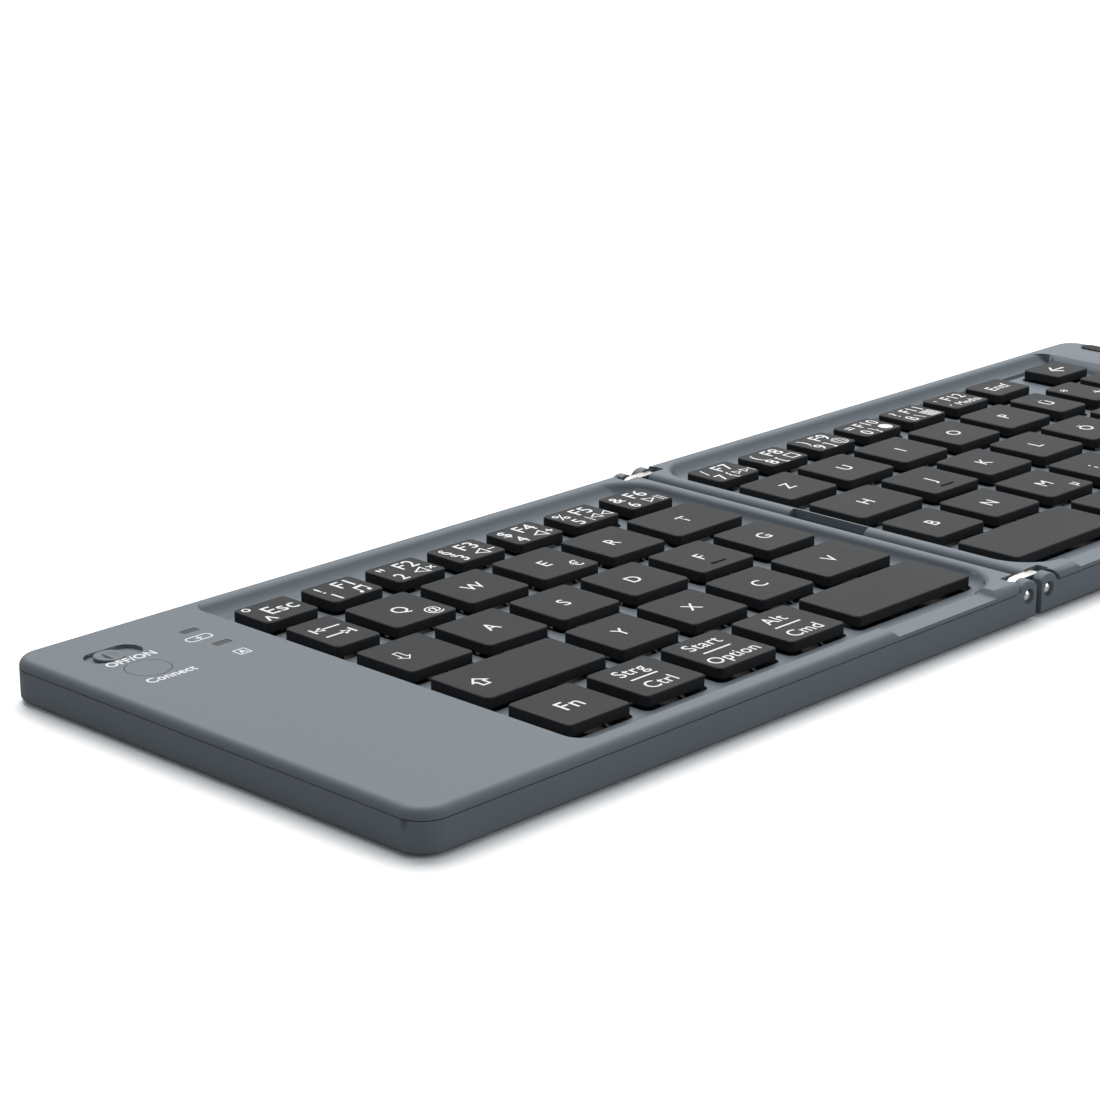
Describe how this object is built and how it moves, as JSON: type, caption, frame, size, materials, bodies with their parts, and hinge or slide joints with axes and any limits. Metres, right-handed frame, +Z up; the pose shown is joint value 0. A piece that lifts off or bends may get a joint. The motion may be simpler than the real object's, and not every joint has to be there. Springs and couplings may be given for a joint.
{
  "type": "folding keyboard",
  "caption": "Slim pocket keyboard in two shallow half cases that fold face to face on paired two-pin link hinges, with low scissor keys, a power slider and a connect button.",
  "frame": {"origin": "centre of the open keyboard's outline, on the surface its feet stand on", "axes": "+X along the key rows towards the Backspace end, +Y from the space bars towards the function keys, +Z up out of the key tops"},
  "size_m": [0.2872, 0.0944, 0.0077],
  "materials": {
    "lower_shell": "fine matt blue grey",
    "upper_shell": "fine matt blue grey",
    "base_plate": "rolled sheet",
    "dome_rubber": "smooth moulded silicone",
    "lever_plastic": "natural moulded nylon",
    "board_laminate": "lacquered laminate",
    "battery_foil": "dull foil pouch",
    "port_shell": "plated sheet",
    "switch_housing": "moulded",
    "switch_metal": "tinned cover",
    "control_plastic": "fine matt blue grey",
    "window_plastic": "smoked clear plastic",
    "foot_rubber": "matt rubber",
    "pin_metal": "polished",
    "link_metal": "satin nickel",
    "flex_film": "film cable",
    "bumper_rubber": "matt rubber",
    "keycap_plastic": "fine textured, nearly black"
  },
  "bodies": {
    "left_half": {"left_lower_shell": "lower_shell", "left_upper_shell": "upper_shell", "left_base_plate": "base_plate", "left_dome_membrane": "dome_rubber", "left_scissor_levers": "lever_plastic", "left_feet": "foot_rubber", "left_hinge_pins": "pin_metal", "control_board": "board_laminate", "battery": "battery_foil", "charging_port": "port_shell", "slide_switch_body": "switch_housing", "button_switch_body": "switch_metal", "status_windows": "window_plastic", "flex_cable": "flex_film"},
    "hinge_links": {"front_hinge_link": "link_metal", "rear_hinge_link": "link_metal"},
    "right_half": {"right_lower_shell": "lower_shell", "right_upper_shell": "upper_shell", "right_base_plate": "base_plate", "right_dome_membrane": "dome_rubber", "right_scissor_levers": "lever_plastic", "right_feet": "foot_rubber", "right_hinge_pins": "pin_metal", "closing_bumper": "bumper_rubber"},
    "switch_knob": {"switch_knob": "control_plastic"},
    "connect_button": {"connect_button": "control_plastic"},
    "key_esc": {"key_esc": "keycap_plastic"},
    "key_f1": {"key_f1": "keycap_plastic"},
    "key_f2": {"key_f2": "keycap_plastic"},
    "key_f3": {"key_f3": "keycap_plastic"},
    "key_f4": {"key_f4": "keycap_plastic"},
    "key_f5": {"key_f5": "keycap_plastic"},
    "key_f6": {"key_f6": "keycap_plastic"},
    "key_tab": {"key_tab": "keycap_plastic"},
    "key_q": {"key_q": "keycap_plastic"},
    "key_w": {"key_w": "keycap_plastic"},
    "key_e": {"key_e": "keycap_plastic"},
    "key_r": {"key_r": "keycap_plastic"},
    "key_t": {"key_t": "keycap_plastic"},
    "key_caps": {"key_caps": "keycap_plastic"},
    "key_a": {"key_a": "keycap_plastic"},
    "key_s": {"key_s": "keycap_plastic"},
    "key_d": {"key_d": "keycap_plastic"},
    "key_f": {"key_f": "keycap_plastic"},
    "key_g": {"key_g": "keycap_plastic"},
    "key_shift": {"key_shift": "keycap_plastic"},
    "key_y": {"key_y": "keycap_plastic"},
    "key_x": {"key_x": "keycap_plastic"},
    "key_c": {"key_c": "keycap_plastic"},
    "key_v": {"key_v": "keycap_plastic"},
    "key_fn": {"key_fn": "keycap_plastic"},
    "key_ctrl": {"key_ctrl": "keycap_plastic"},
    "key_start": {"key_start": "keycap_plastic"},
    "key_alt": {"key_alt": "keycap_plastic"},
    "key_space_left": {"key_space_left": "keycap_plastic"},
    "right_keys_row_1": {"right_keys_row_1": "keycap_plastic"},
    "right_keys_row_2": {"right_keys_row_2": "keycap_plastic"},
    "right_keys_row_3": {"right_keys_row_3": "keycap_plastic"},
    "right_keys_row_4": {"right_keys_row_4": "keycap_plastic"},
    "right_keys_row_5": {"right_keys_row_5": "keycap_plastic"}
  },
  "joints": [
    {"name": "left_fold", "type": "hinge", "parent": "left_half", "child": "hinge_links", "pos_m": [-0.00285, 0, 0.0047], "axis": [0, -1, 0], "range_deg": [0, 90], "deforming": ["flex_cable"]},
    {"name": "right_fold", "type": "hinge", "parent": "hinge_links", "child": "right_half", "pos_m": [0.00285, 0, 0.0047], "axis": [0, -1, 0], "range_deg": [0, 90]},
    {"name": "switch_slide", "type": "slide", "parent": "left_half", "child": "switch_knob", "axis": [1, 0, 0], "range_m": [0, 0.0016]},
    {"name": "connect_press", "type": "slide", "parent": "left_half", "child": "connect_button", "axis": [0, 0, -1], "range_m": [0, 0.0003], "stiffness_N_per_m": 5000},
    {"name": "key_esc_press", "type": "slide", "parent": "left_half", "child": "key_esc", "axis": [0, 0, -1], "range_m": [0, 0.0015], "stiffness_N_per_m": 400, "deforming": ["left_dome_membrane", "left_scissor_levers"]},
    {"name": "key_f1_press", "type": "slide", "parent": "left_half", "child": "key_f1", "axis": [0, 0, -1], "range_m": [0, 0.0015], "stiffness_N_per_m": 400},
    {"name": "key_f2_press", "type": "slide", "parent": "left_half", "child": "key_f2", "axis": [0, 0, -1], "range_m": [0, 0.0015], "stiffness_N_per_m": 400},
    {"name": "key_f3_press", "type": "slide", "parent": "left_half", "child": "key_f3", "axis": [0, 0, -1], "range_m": [0, 0.0015], "stiffness_N_per_m": 400},
    {"name": "key_f4_press", "type": "slide", "parent": "left_half", "child": "key_f4", "axis": [0, 0, -1], "range_m": [0, 0.0015], "stiffness_N_per_m": 400},
    {"name": "key_f5_press", "type": "slide", "parent": "left_half", "child": "key_f5", "axis": [0, 0, -1], "range_m": [0, 0.0015], "stiffness_N_per_m": 400},
    {"name": "key_f6_press", "type": "slide", "parent": "left_half", "child": "key_f6", "axis": [0, 0, -1], "range_m": [0, 0.0015], "stiffness_N_per_m": 400},
    {"name": "key_tab_press", "type": "slide", "parent": "left_half", "child": "key_tab", "axis": [0, 0, -1], "range_m": [0, 0.0015], "stiffness_N_per_m": 400},
    {"name": "key_q_press", "type": "slide", "parent": "left_half", "child": "key_q", "axis": [0, 0, -1], "range_m": [0, 0.0015], "stiffness_N_per_m": 400},
    {"name": "key_w_press", "type": "slide", "parent": "left_half", "child": "key_w", "axis": [0, 0, -1], "range_m": [0, 0.0015], "stiffness_N_per_m": 400},
    {"name": "key_e_press", "type": "slide", "parent": "left_half", "child": "key_e", "axis": [0, 0, -1], "range_m": [0, 0.0015], "stiffness_N_per_m": 400},
    {"name": "key_r_press", "type": "slide", "parent": "left_half", "child": "key_r", "axis": [0, 0, -1], "range_m": [0, 0.0015], "stiffness_N_per_m": 400},
    {"name": "key_t_press", "type": "slide", "parent": "left_half", "child": "key_t", "axis": [0, 0, -1], "range_m": [0, 0.0015], "stiffness_N_per_m": 400},
    {"name": "key_caps_press", "type": "slide", "parent": "left_half", "child": "key_caps", "axis": [0, 0, -1], "range_m": [0, 0.0015], "stiffness_N_per_m": 400},
    {"name": "key_a_press", "type": "slide", "parent": "left_half", "child": "key_a", "axis": [0, 0, -1], "range_m": [0, 0.0015], "stiffness_N_per_m": 400},
    {"name": "key_s_press", "type": "slide", "parent": "left_half", "child": "key_s", "axis": [0, 0, -1], "range_m": [0, 0.0015], "stiffness_N_per_m": 400},
    {"name": "key_d_press", "type": "slide", "parent": "left_half", "child": "key_d", "axis": [0, 0, -1], "range_m": [0, 0.0015], "stiffness_N_per_m": 400},
    {"name": "key_f_press", "type": "slide", "parent": "left_half", "child": "key_f", "axis": [0, 0, -1], "range_m": [0, 0.0015], "stiffness_N_per_m": 400},
    {"name": "key_g_press", "type": "slide", "parent": "left_half", "child": "key_g", "axis": [0, 0, -1], "range_m": [0, 0.0015], "stiffness_N_per_m": 400},
    {"name": "key_shift_press", "type": "slide", "parent": "left_half", "child": "key_shift", "axis": [0, 0, -1], "range_m": [0, 0.0015], "stiffness_N_per_m": 400},
    {"name": "key_y_press", "type": "slide", "parent": "left_half", "child": "key_y", "axis": [0, 0, -1], "range_m": [0, 0.0015], "stiffness_N_per_m": 400},
    {"name": "key_x_press", "type": "slide", "parent": "left_half", "child": "key_x", "axis": [0, 0, -1], "range_m": [0, 0.0015], "stiffness_N_per_m": 400},
    {"name": "key_c_press", "type": "slide", "parent": "left_half", "child": "key_c", "axis": [0, 0, -1], "range_m": [0, 0.0015], "stiffness_N_per_m": 400},
    {"name": "key_v_press", "type": "slide", "parent": "left_half", "child": "key_v", "axis": [0, 0, -1], "range_m": [0, 0.0015], "stiffness_N_per_m": 400},
    {"name": "key_fn_press", "type": "slide", "parent": "left_half", "child": "key_fn", "axis": [0, 0, -1], "range_m": [0, 0.0015], "stiffness_N_per_m": 400},
    {"name": "key_ctrl_press", "type": "slide", "parent": "left_half", "child": "key_ctrl", "axis": [0, 0, -1], "range_m": [0, 0.0015], "stiffness_N_per_m": 400},
    {"name": "key_start_press", "type": "slide", "parent": "left_half", "child": "key_start", "axis": [0, 0, -1], "range_m": [0, 0.0015], "stiffness_N_per_m": 400},
    {"name": "key_alt_press", "type": "slide", "parent": "left_half", "child": "key_alt", "axis": [0, 0, -1], "range_m": [0, 0.0015], "stiffness_N_per_m": 400},
    {"name": "key_space_left_press", "type": "slide", "parent": "left_half", "child": "key_space_left", "axis": [0, 0, -1], "range_m": [0, 0.0015], "stiffness_N_per_m": 400},
    {"name": "right_keys_row_1_press", "type": "slide", "parent": "right_half", "child": "right_keys_row_1", "axis": [0, 0, -1], "range_m": [0, 0.0015], "stiffness_N_per_m": 3000, "deforming": ["right_dome_membrane", "right_scissor_levers"]},
    {"name": "right_keys_row_2_press", "type": "slide", "parent": "right_half", "child": "right_keys_row_2", "axis": [0, 0, -1], "range_m": [0, 0.0015], "stiffness_N_per_m": 3000},
    {"name": "right_keys_row_3_press", "type": "slide", "parent": "right_half", "child": "right_keys_row_3", "axis": [0, 0, -1], "range_m": [0, 0.0015], "stiffness_N_per_m": 3000},
    {"name": "right_keys_row_4_press", "type": "slide", "parent": "right_half", "child": "right_keys_row_4", "axis": [0, 0, -1], "range_m": [0, 0.0015], "stiffness_N_per_m": 3000},
    {"name": "right_keys_row_5_press", "type": "slide", "parent": "right_half", "child": "right_keys_row_5", "axis": [0, 0, -1], "range_m": [0, 0.0015], "stiffness_N_per_m": 3000}
  ]
}
